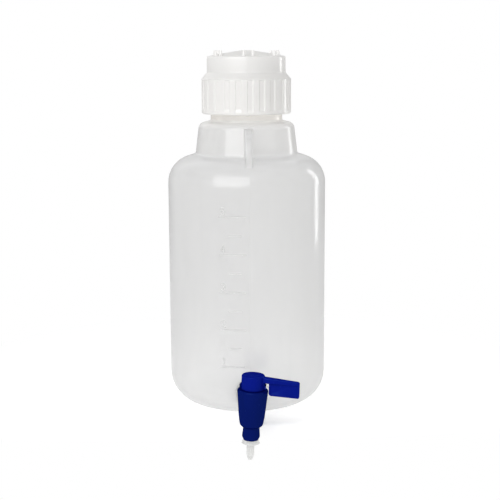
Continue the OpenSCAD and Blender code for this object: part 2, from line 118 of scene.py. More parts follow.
def corner(p, q, s, r, steps):
    """The corner q between p and s, rounded to radius r."""
    p, q, s = Vector(p), Vector(q), Vector(s)
    u, v = (p - q).normalized(), (s - q).normalized()
    half = u.angle(v) / 2
    c = q + (u + v).normalized() * r / math.sin(half)
    a, b = q + u * r / math.tan(half) - c, q + v * r / math.tan(half) - c
    start, end = math.degrees(math.atan2(a.y, a.x)), math.degrees(math.atan2(b.y, b.x))
    turn = (end - start + 540) % 360 - 180
    return arc(c.x, c.y, r, start, turn, steps)


def rounded(points, steps=8):
    """An open outline whose points with a third number have their corner rounded to it."""
    line = []
    for i, point in enumerate(points):
        if len(point) < 3:
            line.append(point)
        else:
            line += corner(points[i - 1][:2], point[:2], points[i + 1][:2], point[2], steps)
    return line


def inset(line, t):
    """The open outline moved t to its left."""
    moved = []
    for i, point in enumerate(line):
        a, b = Vector(line[max(i - 1, 0)]), Vector(line[min(i + 1, len(line) - 1)])
        along = (b - a).normalized()
        moved.append((point[0] - t * along.y, point[1] + t * along.x))
    return moved


def resample(line, step):
    """The outline with no stretch longer than step."""
    out = [line[0]]
    for a, b in zip(line, line[1:]):
        n = max(1, math.ceil(math.dist(a, b) / step))
        out += [(a[0] + (b[0] - a[0]) * i / n, a[1] + (b[1] - a[1]) * i / n) for i in range(1, n + 1)]
    return out


def smooth(x, low, high):
    """0 at low, 1 at high, with an even slope at both ends."""
    t = min(max((x - low) / (high - low), 0.0), 1.0)
    return t * t * (3 - 2 * t)


# ---------------------------------------------------------------- mesh helpers

def new_piece(name, vertices, faces, body, slot, material, stands_for, sharp):
    """A smooth-shaded mesh from points in mm, riding on a body in place of CAD nodes."""
    mesh = bpy.data.meshes.new(name)
    mesh.from_pydata([Vector(v) * MM for v in vertices], [], faces)
    mesh.validate()
    tidy = bmesh.new()
    tidy.from_mesh(mesh)
    bmesh.ops.remove_doubles(tidy, verts=tidy.verts, dist=1e-6)
    bmesh.ops.dissolve_degenerate(tidy, edges=tidy.edges, dist=1e-6)
    bmesh.ops.recalc_face_normals(tidy, faces=tidy.faces)
    tidy.to_mesh(mesh)
    tidy.free()
    mesh.shade_smooth()
    mesh.set_sharp_from_angle(angle=math.radians(sharp))
    piece = bpy.data.objects.new(name, mesh)
    bpy.context.scene.collection.objects.link(piece)
    mesh.materials.append(material)
    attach(piece, body)
    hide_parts(*stands_for)


def sheet_faces(rows, columns, closed_rows=False, closed_columns=True):
    """Quads of a grid of rows by columns of points."""
    faces = []
    for i in range(rows if closed_rows else rows - 1):
        for j in range(columns if closed_columns else columns - 1):
            a, b = i * columns + j, i * columns + (j + 1) % columns
            c, d = ((i + 1) % rows) * columns + (j + 1) % columns, ((i + 1) % rows) * columns + j
            faces.append([a, b, c, d])
    return faces


def even_turn(count):
    """Columns of a lathe, evenly spaced at any radius."""
    return lambda r: [TAU * j / count for j in range(count)]


def lathe(line, turn, shift=None, closed=False):
    """Points and faces of an outline turned about the vertical axis.

    turn gives the columns' angles at a radius, and shift(x, y, z, row) moves a point.
    """
    points = []
    for row, (r, z) in enumerate(line):
        for angle in turn(r):
            point = (r * math.cos(angle), r * math.sin(angle), z)
            points.append(shift(*point, row) if shift else point)
    return points, sheet_faces(len(line), len(turn(1.0)), closed_rows=closed)


def join(*parts):
    """Several (points, faces) as one."""
    points, faces = [], []
    for more_points, more_faces in parts:
        faces += [[k + len(points) for k in face] for face in more_faces]
        points += more_points
    return points, faces


def moved(part, matrix):
    """The part with its points moved by a matrix."""
    points, faces = part
    return [tuple(matrix @ Vector(p)) for p in points], faces


def loft(rings):
    """A closed solid through rings of equally many points, with flat ends."""
    n = len(rings[0])
    points = [p for ring in rings for p in ring]
    faces = sheet_faces(len(rings), n)
    faces.append(list(range(n - 1, -1, -1)))
    faces.append([len(points) - n + k for k in range(n)])
    return points, faces


# ---------------------------------------------------------------- materials

class Nodes:
    """A short way to build a material's nodes."""

    def __init__(self, name):
        self.material = bpy.data.materials.new(name)
        self.material.use_nodes = True
        self.tree = self.material.node_tree
        self.tree.nodes.clear()
        self.output = self.add("ShaderNodeOutputMaterial")
        self.place = self.add("ShaderNodeTexCoord").outputs["Object"]

    def add(self, kind, **values):
        node = self.tree.nodes.new(kind)
        for key, value in values.items():
            setattr(node, key, value)
        return node

    def link(self, a, b):
        self.tree.links.new(a, b)

    def mapped(self, scale):
        node = self.add("ShaderNodeMapping")
        node.inputs["Scale"].default_value = scale
        self.link(self.place, node.inputs["Vector"])
        return node.outputs["Vector"]

    def noise(self, scale, detail=3.0, rough=0.5, stretch=(1, 1, 1)):
        node = self.add("ShaderNodeTexNoise")
        node.inputs["Scale"].default_value = scale
        node.inputs["Detail"].default_value = detail
        node.inputs["Roughness"].default_value = rough
        self.link(self.mapped(stretch), node.inputs["Vector"])
        return node.outputs["Fac"]

    def ramp(self, value, low, high, stops=(0.3, 0.7)):
        """The colour or grey that a 0 to 1 value stands for."""
        node = self.add("ShaderNodeValToRGB")
        for element, position, colour in zip(node.color_ramp.elements, stops, (low, high)):
            element.position = position
            element.color = (*colour, 1) if isinstance(colour, tuple) else (colour, colour, colour, 1)
        self.link(value, node.inputs["Fac"])
        return node.outputs["Color"]

    def bump(self, height, strength, distance, under=None):
        node = self.add("ShaderNodeBump")
        node.inputs["Strength"].default_value = strength
        node.inputs["Distance"].default_value = distance
        self.link(height, node.inputs["Height"])
        if under is not None:
            self.link(under, node.inputs["Normal"])
        return node.outputs["Normal"]

    def mix(self, share, a, b):
        node = self.add("ShaderNodeMixShader")
        if isinstance(share, float):
            node.inputs["Fac"].default_value = share
        else:
            self.link(share, node.inputs["Fac"])
        self.link(a, node.inputs[1])
        self.link(b, node.inputs[2])
        return node.outputs["Shader"]

    def tint(self, colour, by):
        """The colour times another colour or grey."""
        node = self.add("ShaderNodeMix", data_type="RGBA", blend_type="MULTIPLY")
        node.inputs["Factor"].default_value = 1.0
        self.link(colour, node.inputs["A"])
        self.link(by, node.inputs["B"])
        return node.outputs["Result"]

    def rest(self, share):
        """1 less the share."""
        node = self.add("ShaderNodeMath", operation="SUBTRACT")
        node.inputs[0].default_value = 1.0
        self.link(share, node.inputs[1])
        return node.outputs[0]

    def facing(self):
        """0 where the surface faces the viewer, 1 where it's seen edge on."""
        return self.add("ShaderNodeLayerWeight").outputs["Facing"]

    def height(self, top):
        """0 at the part's origin, 1 at top mm above it."""
        split = self.add("ShaderNodeSeparateXYZ")
        self.link(self.mapped((1, 1, 1 / (top * MM))), split.inputs["Vector"])
        return split.outputs["Z"]

    def levels(self, value, stops):
        """The grey or colour that a 0 to 1 value stands for, between stops of (place, grey or colour)."""
        node = self.add("ShaderNodeValToRGB")
        elements = node.color_ramp.elements
        while len(elements) < len(stops):
            elements.new(1.0)
        for element, (place, level) in zip(elements, stops):
            element.position = place
            element.color = (*level, 1) if isinstance(level, tuple) else (level, level, level, 1)
        self.link(value, node.inputs["Fac"])
        return node.outputs["Color"]

    def multiply(self, a, b):
        node = self.add("ShaderNodeMath", operation="MULTIPLY")
        self.link(a, node.inputs[0])
        self.link(b, node.inputs[1])
        return node.outputs[0]

    def gloss(self, roughness, normal, colour=(1.0, 1.0, 1.0)):
        node = self.add("ShaderNodeBsdfAnisotropic")
        node.inputs["Color"].default_value = (*colour, 1)
        self.link(roughness, node.inputs["Roughness"])
        self.link(normal, node.inputs["Normal"])
        return node.outputs["BSDF"]

    def done(self, shader):
        self.link(shader, self.output.inputs["Surface"])
        return self.material


def plastic(n, colour, roughness, normal, **sockets):
    """A Principled shader with linked colour, roughness and normal."""
    shader = n.add("ShaderNodeBsdfPrincipled")
    n.link(colour, shader.inputs["Base Color"])
    n.link(roughness, shader.inputs["Roughness"])
    n.link(normal, shader.inputs["Normal"])
    for name, value in sockets.items():
        shader.inputs[name.replace("_", " ")].default_value = value
    return shader.outputs["BSDF"]


WALL_LOW, WALL_HIGH = (0.905, 0.905, 0.905), (0.925, 0.925, 0.923)
WALL_GLOW, WALL_GLOSS = 0.82, 0.04
# The wall's painted light (lighter at the base and cone, a warm painted glow at the neck under the cap),
# clearness and painted edge shade, by shares of the rim's height
# Painted light: these levels lighten the wall at the base and cone and give the neck a warm painted glow
WALL_PAINTED_LIGHT = [(0.0, 0.985), (0.12, 0.97), (0.3, 0.935), (0.5, 0.93), (0.75, 0.935), (0.8, 0.955),
             (0.86, 0.955), (0.89, (1.13, 1.11, 1.08))]
WALL_CLEAR = [(0.0, 0.6), (0.06, 0.55), (0.3, 0.42), (0.5, 0.38), (0.75, 0.38), (0.8, 0.5),
              (0.87, 0.5), (0.89, 0.56)]
# Painted shade: how much the wall's colour darkens where it is seen edge on, more so higher up
WALL_PAINTED_EDGE_SHADE = [(0.0, 0.0), (0.3, 0.05), (0.5, 0.12), (0.62, 0.26), (1.0, 0.26)]
EDGE_START, EDGE_END = 0.6, 0.95
NOZZLE_GLOW, NOZZLE_CLEAR = 0.6, 0.4
CAP_GLOW, CAP_GLOSS = 0.36, 0.06
BLUE_GLOSS, BLUE_SHEEN = 0.016, (0.15, 0.4, 1.0)


def clear_share(n, grey):
    """What passes straight through."""
    clear = n.add("ShaderNodeBsdfTransparent")
    clear.inputs["Color"].default_value = (*grey, 1)
    return clear.outputs["BSDF"]


def glow_share(n, colour, normal=None):
    """What passes through scattered, of a linked colour."""
    glow = n.add("ShaderNodeBsdfTranslucent")
    n.link(colour, glow.inputs["Color"])
    if normal is not None:
        n.link(normal, glow.inputs["Normal"])
    return glow.outputs["BSDF"]


def milky_polypropylene():
    """Blow-moulded wall: it passes most of the light on, scattered, is less clear edge on, and has painted
    shade darkening it edge on and painted light by height.
    """
    n = Nodes("milky_polypropylene")
    height = n.height(RIM_Z)
    cloud = n.ramp(n.noise(9, 3, 0.5, (1, 1, 0.45)), WALL_LOW, WALL_HIGH)
    # Painted shade: the colour darkens where the wall is seen edge on
    painted_edge_shade = n.multiply(n.ramp(n.facing(), 0.0, 1.0, (EDGE_START, EDGE_END)), n.levels(height, WALL_PAINTED_EDGE_SHADE))
    # The colour takes painted light by height and painted shade where the wall is seen edge on
    colour = n.tint(n.tint(cloud, n.levels(height, WALL_PAINTED_LIGHT)), n.rest(painted_edge_shade))
    roughness = n.ramp(n.noise(35, 2), 0.10, 0.15)
    waves = n.bump(n.noise(16, 1, 0.4, (1, 1, 0.5)), 0.05, 0.004)
    skin = n.bump(n.noise(300, 2, 0.6), 0.04, 0.0003, waves)
    milk = n.mix(WALL_GLOW, plastic(n, colour, roughness, skin), glow_share(n, colour, waves))
    thin = n.multiply(n.levels(height, WALL_CLEAR), n.ramp(n.facing(), 1.0, 0.0, (0.2, 0.95)))
    wall = n.mix(thin, milk, clear_share(n, (0.975, 0.975, 0.975)))
    return n.done(n.mix(WALL_GLOSS, wall, n.gloss(roughness, skin)))


def milky_polyethylene():
    """The nozzle: clearer than the bottle, with a soft sheen."""
    n = Nodes("milky_polyethylene")
    colour = n.ramp(n.noise(160, 2), (0.90, 0.90, 0.895), (0.94, 0.94, 0.935))
    roughness = n.ramp(n.noise(300, 2), 0.22, 0.34)
    skin = n.bump(n.noise(900, 2), 0.05, 0.0002)
    milk = n.mix(NOZZLE_GLOW, plastic(n, colour, roughness, skin, IOR=1.51), glow_share(n, colour))
    thin = n.ramp(n.facing(), NOZZLE_CLEAR, 0.0, (0.2, 0.9))
    return n.done(n.mix(thin, milk, clear_share(n, (0.97, 0.97, 0.965))))


def raised_marks():
    """The graduations: the same milky plastic, thicker, so that it looks whiter."""
    n = Nodes("raised_marks")
    colour = n.ramp(n.noise(200, 2), (0.77, 0.77, 0.765), (0.80, 0.80, 0.795))
    roughness = n.ramp(n.noise(300, 2), 0.2, 0.3)
    return n.done(plastic(n, colour, roughness, n.bump(n.noise(900, 2), 0.05, 0.0002)))


def white_polypropylene():
    """The cap: satin white that lets a little light through, with a fine spark-eroded skin."""
    n = Nodes("white_polypropylene")
    colour = n.ramp(n.noise(30, 3), (0.936, 0.934, 0.926), (0.956, 0.953, 0.946))
    roughness = n.ramp(n.noise(90, 3), 0.10, 0.14)
    flow = n.bump(n.noise(60, 2, 0.5, (1, 1, 0.3)), 0.05, 0.002)
    skin = n.bump(n.noise(3200, 2, 0.7), 0.12, 0.0002, flow)
    surface = plastic(n, colour, roughness, skin, Specular_IOR_Level=0.0)
    glow = n.add("ShaderNodeBsdfTranslucent")
    glow.inputs["Color"].default_value = (0.98, 0.97, 0.955, 1)
    inner = n.mix(CAP_GLOW, surface, glow.outputs["BSDF"])
    return n.done(n.mix(CAP_GLOSS, inner, n.gloss(roughness, skin)))


def blue_polypropylene(name, low, high):
    """The tap: deep ultramarine with a semi-gloss skin and slight flow marks."""
    n = Nodes(name)
    marks = n.noise(70, 4, 0.6, (1, 1, 0.4))
    colour = n.ramp(marks, low, high)
    roughness = n.ramp(n.noise(160, 3), 0.2, 0.28)
    flow = n.bump(marks, 0.06, 0.002)
    skin = n.bump(n.noise(3600, 2, 0.7), 0.10, 0.0002, flow)
    surface = plastic(n, colour, roughness, skin, Specular_IOR_Level=0.0)
    return n.done(n.mix(BLUE_GLOSS, surface, n.gloss(roughness, skin, BLUE_SHEEN)))


def seal_rubber():
    """The O-rings and gaskets: dull black."""
    n = Nodes("seal_rubber")
    colour = n.ramp(n.noise(400, 3), (0.018, 0.018, 0.019), (0.035, 0.035, 0.036))
    roughness = n.ramp(n.noise(250, 3), 0.55, 0.72)
    skin = n.bump(n.noise(2600, 3, 0.7), 0.2, 0.0002)
    return n.done(plastic(n, colour, roughness, skin))


def liner_foam():
    """The cap's liner: closed-cell foam with a fine open grain."""
    n = Nodes("liner_foam")
    cells = n.add("ShaderNodeTexVoronoi")
    cells.inputs["Scale"].default_value = 1500
    n.link(n.place, cells.inputs["Vector"])
    colour = n.ramp(n.noise(120, 3), (0.70, 0.69, 0.64), (0.78, 0.77, 0.72))
    roughness = n.ramp(n.noise(200, 2), 0.7, 0.85)
    return n.done(plastic(n, colour, roughness, n.bump(cells.outputs["Distance"], 0.4, 0.0003)))


BOTTLE_SLOT, CAP_SLOT, TAP_SLOT = "clear_polypropylene", "white_polypropylene", "blue_polypropylene"
NOZZLE_SLOT, SEAL_SLOT, LINER_SLOT = "milky_polyethylene", "seal_rubber", "liner_foam"
LOOKS = {
    BOTTLE_SLOT: milky_polypropylene(),
    CAP_SLOT: white_polypropylene(),
    # Painted shade: the tap body's blue is kept darker than the key's copy of the same blue plastic
    TAP_SLOT: blue_polypropylene(TAP_SLOT, (0.0007, 0.0036, 0.095), (0.0012, 0.0052, 0.12)),
    NOZZLE_SLOT: milky_polyethylene(),
    SEAL_SLOT: seal_rubber(),
    LINER_SLOT: liner_foam(),
}
MARK_LOOK = raised_marks()
# Painted light: the key's copy of the tap's blue is brighter than the body's, as if lit more
KEY_LIT_LOOK = blue_polypropylene("blue_polypropylene_key_lit", (0.0012, 0.0045, 0.20), (0.002, 0.0065, 0.24))


def piece(name, part, body, slot, stands_for, sharp=40, look=None):
    """A new piece with its slot's material, or another look of it."""
    new_piece(name, *part, body, slot, look or LOOKS[slot], stands_for, sharp)


# ---------------------------------------------------------------- bottle

FRONT, REAR = math.radians(270), math.radians(90)
# Columns of the wall beside the mould line, as distances from it
STRIP = [0, 0.25, 0.5, 1.4, 2.2, 2.8, 3.1, 3.4, 3.65, 3.85, 3.97, 4.05, 4.2, 4.5, 5.0, 5.55, 6.4, 8.0, 10.5]
STRIP_MIN_R = 30.0
SIDE_COLUMNS = 56


def wall_columns(r):
    """Angles of the wall's columns: fine beside the two mould lines, even between them."""
    strip = [math.asin(x / max(r, STRIP_MIN_R)) for x in STRIP]
    both = [-a for a in reversed(strip[1:])] + strip
    edge = strip[-1]
    between = [edge + (math.pi - 2 * edge) * j / SIDE_COLUMNS for j in range(1, SIDE_COLUMNS)]
    return [FRONT + a for a in both + between] + [REAR + a for a in both + between]


def fin_reach(z):
    """Distance of a fin's outer edge from the bottle's axis at a height."""
    if z > FIN_TOP_Z or z < FIN_FOOT_Z:
        return 0.0
    rise = max(z - FIN_SIDE_Z, 0) / (FIN_TOP_Z - FIN_SIDE_Z)
    return FIN_IN_R + (FIN_REACH - FIN_IN_R) * math.sqrt(max(1 - rise * rise, 0))


def with_fin_rows(line):
    """The outline with extra points where the fins' curved edge is steep."""
    heights = [FIN_SIDE_Z + (FIN_TOP_Z - FIN_SIDE_Z) * math.sin(math.radians(a)) for a in range(3, 91, 4)]
    out = [line[0]]
    for (r0, z0), (r1, z1) in zip(line, line[1:]):
        for z in heights:
            if z0 + 0.05 < z < z1 - 0.05:
                out.append((r0 + (r1 - r0) * (z - z0) / (z1 - z0), z))
        out.append((r1, z1))
    return out


def on_mould_line(x, y, z, row):
    """Raises the shoulder fins and the thin mould seam out of the wall."""
    r = math.hypot(x, y)
    if r < STRIP_MIN_R or abs(x) > FIN_T:
        return x, y, z
    out = SEAM_H * smooth(abs(x), 0.5, 0.1)
    rise = fin_reach(z) - r
    half = FIN_T / 2
    if rise > 0 and abs(x) <= half:
        past = max(abs(x) - (half - FIN_EDGE), 0)
        out += max(rise - (FIN_EDGE - math.sqrt(FIN_EDGE * FIN_EDGE - past * past)), 0)
    elif rise > 0:
        past = min((abs(x) - half) / FIN_FLARE, 1)
        out += min(rise, FIN_FLARE * (1 - math.sqrt(1 - (1 - past) ** 2)))
    return x, y + math.copysign(out, y), z


def bottle_line():
    """The bottle's section, from the middle of its base up to the rim and back down inside."""
    outer = rounded([
        (0, PUSH_UP), (BASE_RING_R - 8, PUSH_UP, 6), (BASE_RING_R, 0, 4),
        (BODY_R, 0, BASE_CORNER_R), (BODY_R, SHOULDER_Z, SHOULDER_R), (CONE_FOOT_R, CONE_FOOT_Z, 4),
        (CONE_TOP_R, CONE_TOP_Z - 3, 8), (NECK_R, CONE_TOP_Z, 2.5), (NECK_R, NECK_TOP_Z, 3),
        (FINISH_R, FINISH_FOOT_Z, 3), (FINISH_R, RIM_Z),
    ], 10)
    inner = inset(outer, WALL)[1:-1]
    rim = arc(FINISH_R - WALL / 2, RIM_Z - 0.5, WALL / 2 - 0.02, 0, 180, 8)
    rim = [(r, RIM_Z - 0.5 + (z - RIM_Z + 0.5) * 0.55) for r, z in rim]
    floor = (0, PUSH_UP + WALL)
    return with_fin_rows(resample(outer[:-1] + rim, 3.0)) + resample(list(reversed(inner)) + [floor], 5.0)


def thread_ridge(r, h, z):
    """The helical ridge of the neck's or the cap's thread."""
    steps, sink, root, crest = round(72 * THREAD_TURNS), 0.5, 3.0, 1.2
    rings = []
    for i in range(steps + 1):
        angle = TAU * THREAD_TURNS * i / steps
        k = 0.15 + 0.85 * min(1, min(i, steps - i) / 6)
        zc = z + THREAD_LEAD * THREAD_TURNS * i / steps
        section = [(r - math.copysign(sink, h), -root / 2), (r - math.copysign(sink, h), root / 2),
                   (r + h * k * 0.8, crest * 0.75), (r + h * k, crest * 0.3),
                   (r + h * k, -crest * 0.3), (r + h * k * 0.8, -crest * 0.75)]
        rings.append([(p * math.cos(angle), p * math.sin(angle), zc + q) for p, q in section])
    return loft(rings)


def on_wall(u, v, lift):
    """A point u mm along the wall from the front, at height v, raised by lift."""
    angle = FRONT + u / BODY_R
    return ((BODY_R + lift) * math.cos(angle), (BODY_R + lift) * math.sin(angle), v)


def raised_bar(u0, u1, v):
    """A moulded line along the wall with soft edges."""
    n = max(3, round(abs(u1 - u0) / 1.5))
    side = 0.55 * MARK_H
    profile = [(-0.5, -0.4), (-0.42, side), (-0.25, MARK_H), (0.25, MARK_H), (0.42, side), (0.5, -0.4)]
    rings = []
    for i in range(n + 1):
        taper = 0.55 if i in (0, n) else 1.0
        u = u0 + (u1 - u0) * i / n
        rings.append([on_wall(u, v + q * MARK_W, lift * (taper if lift > 0 else 1)) for q, lift in profile])
    return loft(rings)


def raised_stroke(path):
    """A moulded pen stroke along (u, v) points on the wall."""
    edge = 0.6 * MARK_H
    profile = [(-0.5, -0.4), (-0.4, edge), (-0.2, MARK_H), (0.2, MARK_H), (0.4, edge), (0.5, -0.4)]
    rings = []
    for i, (u, v) in enumerate(path):
        a, b = Vector(path[max(i - 1, 0)]), Vector(path[min(i + 1, len(path) - 1)])
        along = (b - a).normalized()
        side = Vector((-along.y, along.x)) * STROKE_W
        rings.append([on_wall(u + side.x * q, v + side.y * q, lift) for q, lift in profile])
    return loft(rings)


# Strokes of the plain numerals, in a box 1 wide and 1.6 high
NUMERALS = {
    1: [[(0.25, 1.3), (0.55, 1.6), (0.55, 0)]],
    2: [arc(0.5, 1.12, 0.48, 170, -190, 9) + [(0.02, 0), (1.0, 0)]],
    3: [arc(0.46, 1.2, 0.4, 150, -225, 9) + arc(0.46, 0.42, 0.44, 75, -225, 9)[1:]],
    4: [[(0.95, 0.5), (0, 0.5), (0.7, 1.6), (0.7, 0)]],
    5: [[(0.92, 1.6), (0.15, 1.6), (0.08, 0.9)] + arc(0.45, 0.52, 0.5, 125, -265, 10)],
}


def graduations():
    """Moulded lines at each litre and half litre, with a plain number by each litre."""
    parts = []
    for litre in range(1, LITRES + 1):
        z = LITRE_Z + LITRE_H * (litre - 1)
        parts.append(raised_bar(*LITRE_LINE, z))
        for stroke in NUMERALS[litre]:
            path = [(NUMBER_U + NUMBER_W * u, z + NUMBER_RISE + NUMBER_H * v) for u, v in stroke]
            parts.append(raised_stroke(path))
        if litre < LITRES:
            parts.append(raised_bar(*HALF_LINE, z + LITRE_H / 2))
    return join(*parts)


def along_outlet(line, y):
    """An outline of (radius, distance from y) turned about the outlet's axis."""
    place = Matrix.Translation((0, y, OUTLET_Z)) @ Matrix.Rotation(-math.pi / 2, 4, "X")
    return moved(lathe(line, even_turn(72), closed=True), place)


def outlet_boss():
    """The flat land for the tap's gasket, flared into the wall."""
    line = [(9.4, 3.6), (9.4, 0.3), (9.7, 0), (BOSS_R - 0.9, 0)]
    line += arc(BOSS_R - 0.9, 0.9, 0.9, 270, 90, 5)
    line += [(BOSS_R, 3), (BOSS_R + 0.15, 7), (BOSS_R + 0.6, 14), (BOSS_R - 1.6, 14), (BOSS_R - 1.6, 3.6)]
    return along_outlet(line, BOSS_FACE_Y)


def build_bottle():
    """The wall with its thread and fins, the boss and the graduations."""
    thread = thread_ridge(FINISH_R, THREAD_H, THREAD_Z)
    wall = lathe(bottle_line(), wall_columns, on_mould_line)
    piece("bottle_wall", join(wall, thread), "bottle", BOTTLE_SLOT, ["bottle"], sharp=50)
    piece("bottle_outlet_boss", outlet_boss(), "bottle", BOTTLE_SLOT, ["bottle"])
    piece("bottle_graduations", graduations(), "bottle", BOTTLE_SLOT, ["bottle"], look=MARK_LOOK)


# ---------------------------------------------------------------- screw cap

# A pitch of the skirt, in shares, from the middle of a groove to the middle of the next
PITCH = [0, 0.12, 0.19, 0.225, 0.25, 0.275, 0.31, 0.38, 0.5, 0.62, 0.69, 0.725, 0.75, 0.775, 0.81, 0.88]


def cap_columns(r):
    """Angles of the cap's columns: fine beside the edges of the grooves."""
    return [TAU * (i + share) / GROOVE_COUNT + math.radians(GROOVE_TURN - 90)
            for i in range(GROOVE_COUNT) for share in PITCH]


def crown_height(x, y):
    """Rise of the cap's six-sided crown: a thin plate with a flat-topped pyramid on it."""
    side = max(abs(x * math.cos(a) + y * math.sin(a)) for a in map(math.radians, (30, 90, 150)))
    plate, foot, flat = CROWN_PLATE_H, CROWN_R * COS_30, CROWN_TOP_R * COS_30
    slope = (CROWN_H - plate) * min(max((foot - side) / (foot - flat), 0), 1)
    return plate * smooth(side, foot + 0.45, foot - 0.25) + slope


def on_cap(last_outer_row):
    """Cuts the grooves into the skirt and raises the crown, on the outside only."""
    def shift(x, y, z, row):
        if row > last_outer_row:
            return x, y, z
        r = math.hypot(x, y)
        if r > SKIRT_R - 1.8 and z < SLOPE_Z + 1:
            share = (math.degrees(math.atan2(y, x)) - GROOVE_TURN + 90) * GROOVE_COUNT / 360 % 1
            off = min(share, 1 - share)
            across = smooth(off, GROOVE_SHARE / 2 + 0.02, GROOVE_SHARE / 2 - 0.045)
            along = smooth(z, CAP_FOOT_Z + BAND_H - 0.3, CAP_FOOT_Z + BAND_H + 0.9)
            along *= smooth(z, SLOPE_Z + 0.6, SLOPE_Z - 0.9)
            k = 1 - GROOVE_DEPTH * across * along / r
            return x * k, y * k, z
        if z > CAP_TOP_Z - 0.1:
            z += crown_height(x, y)
        return x, y, z
    return shift


def cap_part():
    """The cap's shell, grooved and crowned."""
    outer = rounded([
        (SKIRT_IN_R, CAP_FOOT_Z), (SKIRT_R - 1.2, CAP_FOOT_Z, 0.5), (SKIRT_R, CAP_FOOT_Z + 1.4, 0.7),
        (SKIRT_R, SLOPE_Z, 1.6), (DRUM_R, DRUM_Z, 1.2), (DRUM_R, CAP_TOP_Z, 2), (0, CAP_TOP_Z),
    ], 5)
    outer = resample(outer, 1.2)
    inner = rounded([
        (0, CAP_TOP_Z - CAP_TOP_T), (DRUM_R - DRUM_T, CAP_TOP_Z - CAP_TOP_T, 1), (DRUM_R - DRUM_T, LEDGE_Z),
        (SKIRT_IN_R, LEDGE_Z), (SKIRT_IN_R, CAP_FOOT_Z + 0.5),
    ], 4)
    return lathe(outer + inner, cap_columns, on_cap(len(outer) - 1), closed=True)


def drive_peg():
    """A peg with a rounded top and a fillet at its foot."""
    line = [(0, PEG_H), (PEG_R - 1.1, PEG_H - 0.05)] + arc(PEG_R - 1.1, PEG_H - 0.6, 0.55, 80, -75, 4)
    line += [(PEG_R - 0.08, 0.7), (PEG_R + 0.15, 0.25), (PEG_R + 0.55, 0.0), (PEG_R + 0.55, -0.6), (0, -0.6)]
    return lathe(line, even_turn(20))


def build_cap():
    """The cap's shell, thread and pairs of pegs as one moulding."""
    pegs = []
    for i in range(PEG_PAIRS):
        for side in (-1, 1):
            angle = math.radians(-90 + PEG_TURN + 360 / PEG_PAIRS * i + side * PEG_SPREAD)
            place = (PEG_RING_R * math.cos(angle), PEG_RING_R * math.sin(angle), CAP_TOP_Z)
            pegs.append(moved(drive_peg(), Matrix.Translation(place)))
    thread = thread_ridge(SKIRT_IN_R, -(THREAD_H + 0.1), THREAD_Z - CAP_THREAD_DROP)
    piece("screw_cap_moulding", join(cap_part(), thread, *pegs), "cap", CAP_SLOT, ["screw_cap"], sharp=45)


# ---------------------------------------------------------------- tap

def about_tap(part, angle=0.0):
    """A part drawn upright about the tap's axis, put in its leaning place and turned."""
    lean = Matrix.Rotation(math.radians(TAP_LEAN), 4, "Y") @ Matrix.Translation((0, 0, -OUTLET_Z))
    place = Matrix.Translation((0, TAP_Y, OUTLET_Z)) @ lean
    return moved(part, place @ Matrix.Rotation(math.radians(angle), 4, "Z"))


def barrel_part():
    """The barrel with its rim, spigot, bore and the nozzle's socket."""
    lip = 2.0
    foot = SPIGOT_FOOT_Z
    outer = rounded([
        (SOCKET_R, foot), (SPIGOT_R - 1.0, foot, 0.5), (SPIGOT_R + 0.75, foot + 3.8, 2.0),
        (SPIGOT_R - 0.1, BARREL_FOOT_Z + 0.2, 0.5), (RIM_R - 4.5, BARREL_FOOT_Z - 0.1, 4.5),
        (RIM_R - 2.5, BARREL_FOOT_Z + 12, 40), (RIM_R - 0.5, RIM_TOP_Z - 7),
    ], 6)
    outer += arc(RIM_R - lip, RIM_TOP_Z - lip, lip, -20, 110, 8)
    bore = KEY_R + 0.05
    inner = [(bore + 0.3, RIM_TOP_Z), (bore, RIM_TOP_Z - 0.3), (bore, 11.6), (3.6, 11.6),
             (3.6, foot + SOCKET_DEPTH), (SOCKET_R, foot + SOCKET_DEPTH)]
    return about_tap(lathe(outer + inner, even_turn(96), closed=True))


def stop_wall_part():
    """The low wall behind the knob that stops the key."""
    steps, top = 48, STOP_TOP_Z
    rings = []
    for i in range(steps + 1):
        angle = math.radians(STOP_TURN + (180 - 2 * STOP_TURN) * i / steps)
        section = [(STOP_IN_R, RIM_TOP_Z - 0.5)]
        section += [(STOP_IN_R, top - 0.4), (STOP_IN_R + 0.15, top - 0.1), (STOP_IN_R + 0.4, top)]
        section += [(STOP_OUT_R - 0.4, top), (STOP_OUT_R - 0.15, top - 0.1), (STOP_OUT_R, top - 0.4)]
        section += [(STOP_OUT_R, RIM_TOP_Z + 0.3), (STOP_OUT_R + 0.3, RIM_TOP_Z - 0.5)]
        rings.append([(r * math.cos(angle), r * math.sin(angle), z) for r, z in section])
    return about_tap(loft(rings))


def inlet_part():
    """The inlet tube, its collar and the threaded tail, with its bore."""
    collar, face, end = COLLAR_Y - INLET_Y, COLLAR_FACE_Y - INLET_Y, TAIL_END_Y - INLET_Y
    fillet, bore = 1.2, 4
    line = [(bore, 0), (INLET_R, 0), (INLET_R, collar - fillet)]
    line += arc(INLET_R + fillet, collar - fillet, fillet, 180, -90, 4)
    line += rounded([(INLET_R + fillet, collar), (COLLAR_R, collar, 0.8), (COLLAR_R, face, 0.3),
                     (TAIL_R, face)], 4)
    pitch = (end - 1 - face) / TAIL_TURNS
    for i in range(TAIL_TURNS):
        start = face + pitch * i
        line += [(TAIL_R, start + 0.2 * pitch), (TAIL_ROOT_R, start + 0.5 * pitch),
                 (TAIL_R, start + 0.8 * pitch)]
    line += [(TAIL_R, end - 1), (TAIL_R - 1, end), (bore + 0.3, end), (bore, end - 0.3)]
    return along_outlet(line, INLET_Y)


